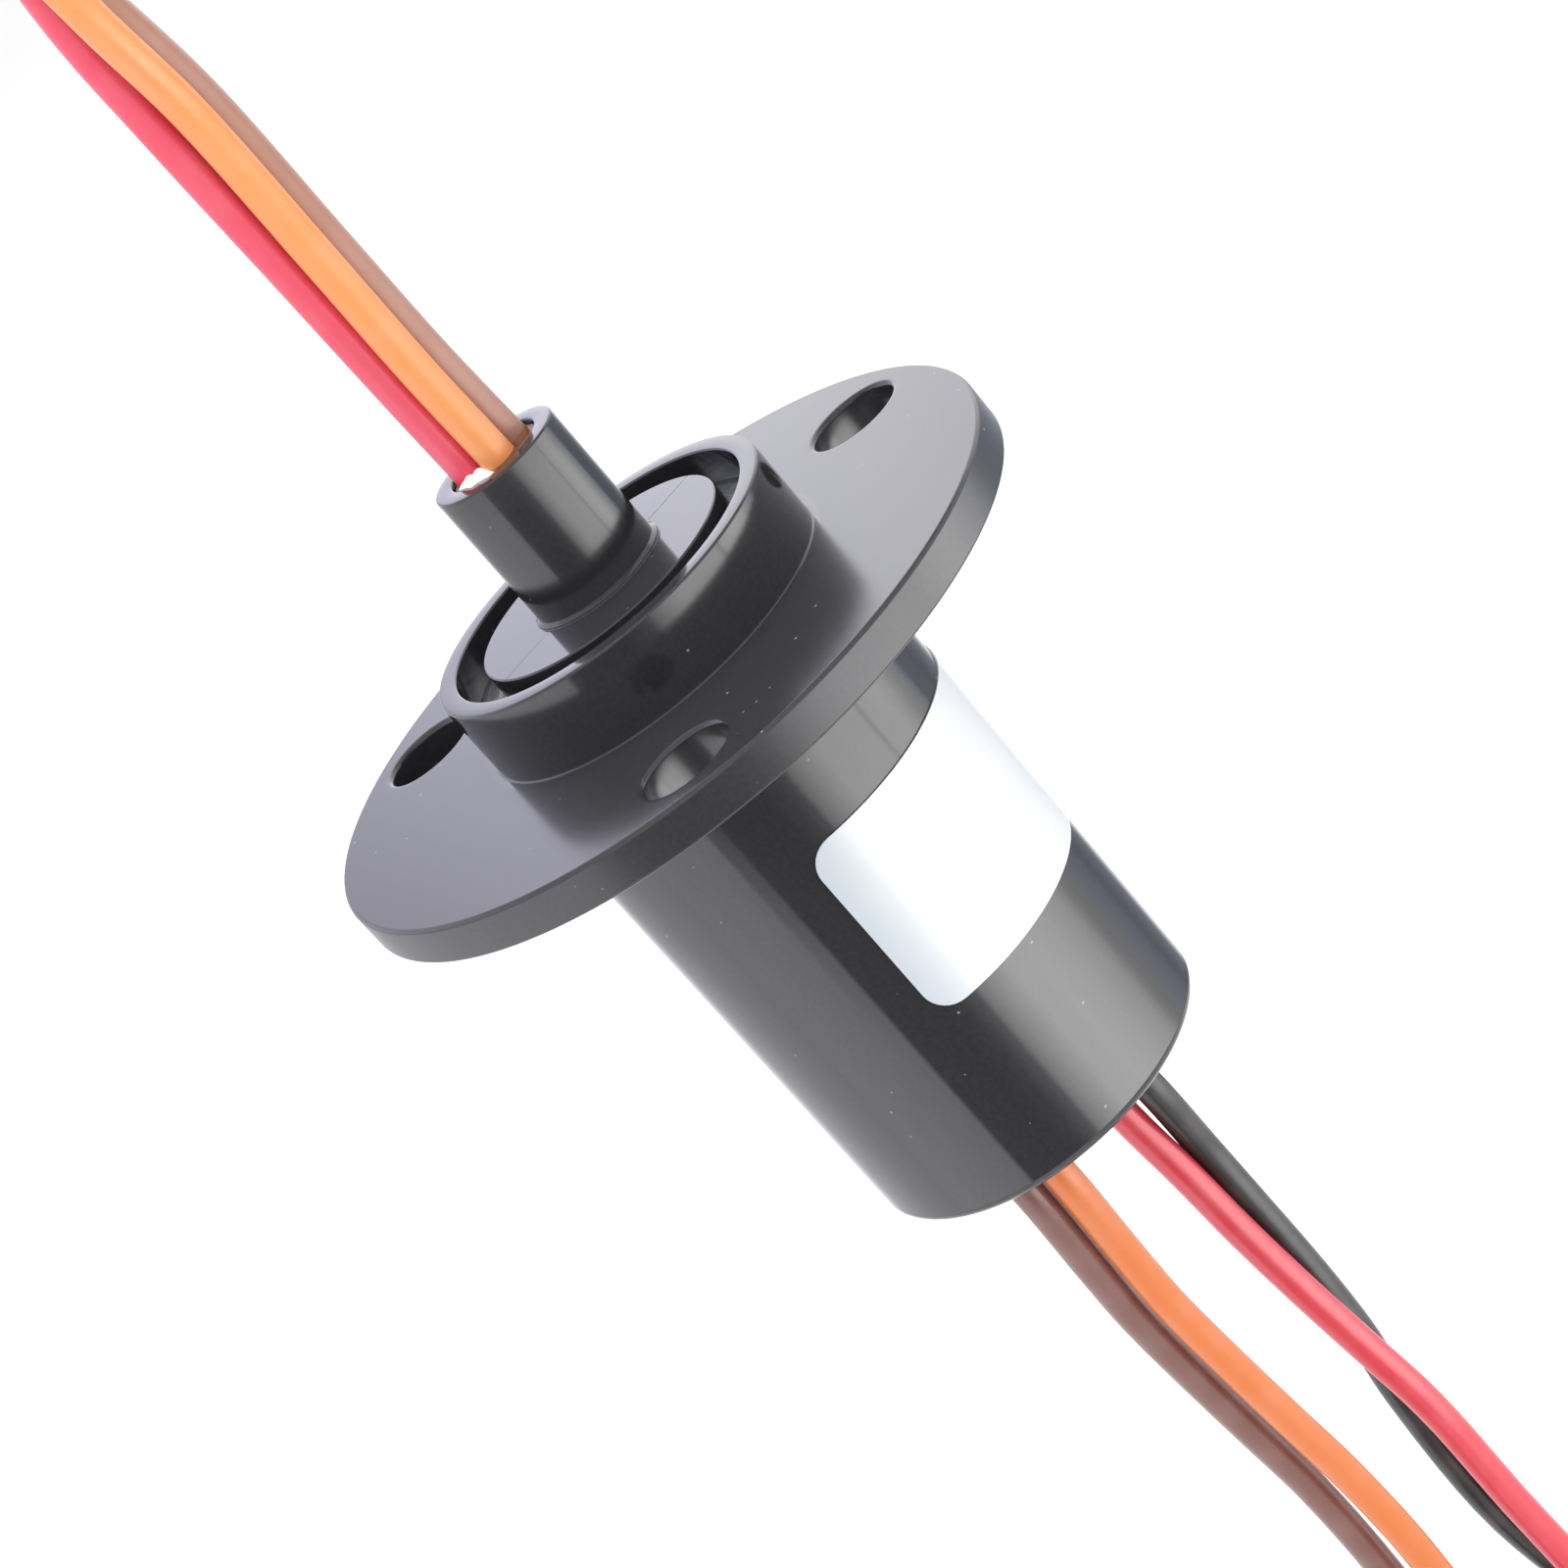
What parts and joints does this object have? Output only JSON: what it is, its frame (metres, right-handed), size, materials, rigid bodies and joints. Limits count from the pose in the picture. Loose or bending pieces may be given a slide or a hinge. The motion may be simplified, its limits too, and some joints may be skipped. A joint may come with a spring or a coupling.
{
  "type": "capsule slip ring",
  "caption": "Flange-mounted capsule slip ring: round black housing, turning hollow shaft, insulated leads out of both ends.",
  "frame": {"origin": "on the spin axis, at the flange's mounting face (its face towards the body)", "axes": "+Z along the spin axis, out of the rotor shaft's lead exit; the fixing holes lie 120 degrees apart, one of them close to -Y"},
  "size_m": [0.0712, 0.0436, 0.2059],
  "materials": {
    "black_housing": "glossy black moulded plastic",
    "cap_plastic": "satin black moulded plastic",
    "label_film": "glossy pale blue-white film, bare",
    "bearing_steel": "ground steel",
    "cage_brass": "satin brass",
    "contact_gold": "gold-plated brass",
    "board_green": "glass-fibre board",
    "insulator_cream": "matt moulded plastic",
    "sealing_white": "white sealing compound",
    "lead_brown": "smooth soft insulation",
    "lead_orange": "smooth soft insulation",
    "lead_red": "smooth soft insulation",
    "lead_black": "smooth soft insulation",
    "lead_inner": "smooth soft insulation",
    "hank": "folded leads",
    "tie_black": "black tie band"
  },
  "bodies": {
    "stator": {"housing": "black_housing", "end_cap": "cap_plastic", "label": "label_film", "front_bearing_outer": "bearing_steel", "front_shield": "bearing_steel", "rear_bearing_outer": "bearing_steel", "brush_board_near": "board_green", "brush_board_far": "board_green", "brushes_1": "contact_gold", "brushes_2": "contact_gold", "brushes_3": "contact_gold", "brushes_4": "contact_gold", "stator_lead_ends": "lead_inner", "stator_lead_brown": "lead_brown", "stator_lead_orange": "lead_orange", "stator_lead_red": "lead_red", "stator_lead_black": "lead_black", "stator_hank": "hank", "stator_tie": "tie_black"},
    "rotor": {"rotor": "black_housing", "exit_plug": "sealing_white", "contact_ring_1": "contact_gold", "contact_ring_2": "contact_gold", "contact_ring_3": "contact_gold", "contact_ring_4": "contact_gold", "insulator_1": "insulator_cream", "insulator_2": "insulator_cream", "insulator_3": "insulator_cream", "insulator_4": "insulator_cream", "insulator_5": "insulator_cream", "stack_nut": "bearing_steel", "front_bearing_inner": "bearing_steel", "rear_bearing_inner": "bearing_steel", "rear_clip": "bearing_steel", "rotor_lead_ends": "lead_inner", "rotor_lead_brown": "lead_brown", "rotor_lead_orange": "lead_orange", "rotor_lead_red": "lead_red", "rotor_lead_black": "lead_black", "rotor_hank": "hank", "rotor_tie": "tie_black"},
    "front_ball_set": {"front_cage": "cage_brass", "front_balls": "bearing_steel"},
    "rear_ball_set": {"rear_cage": "cage_brass", "rear_balls": "bearing_steel"}
  },
  "joints": [
    {"name": "rotor_spin", "type": "hinge", "parent": "stator", "child": "rotor", "pos_m": [0, 0, 0], "axis": [0, 0, 1], "continuous": true},
    {"name": "front_balls_roll", "type": "hinge", "parent": "stator", "child": "front_ball_set", "pos_m": [0, 0, 0], "axis": [0, 0, 1], "continuous": true},
    {"name": "rear_balls_roll", "type": "hinge", "parent": "stator", "child": "rear_ball_set", "pos_m": [0, 0, 0], "axis": [0, 0, 1], "continuous": true}
  ],
  "couplings": [
    {"joint": "front_balls_roll", "follows": "rotor_spin", "ratio": 0.4179},
    {"joint": "rear_balls_roll", "follows": "rotor_spin", "ratio": 0.3785}
  ]
}
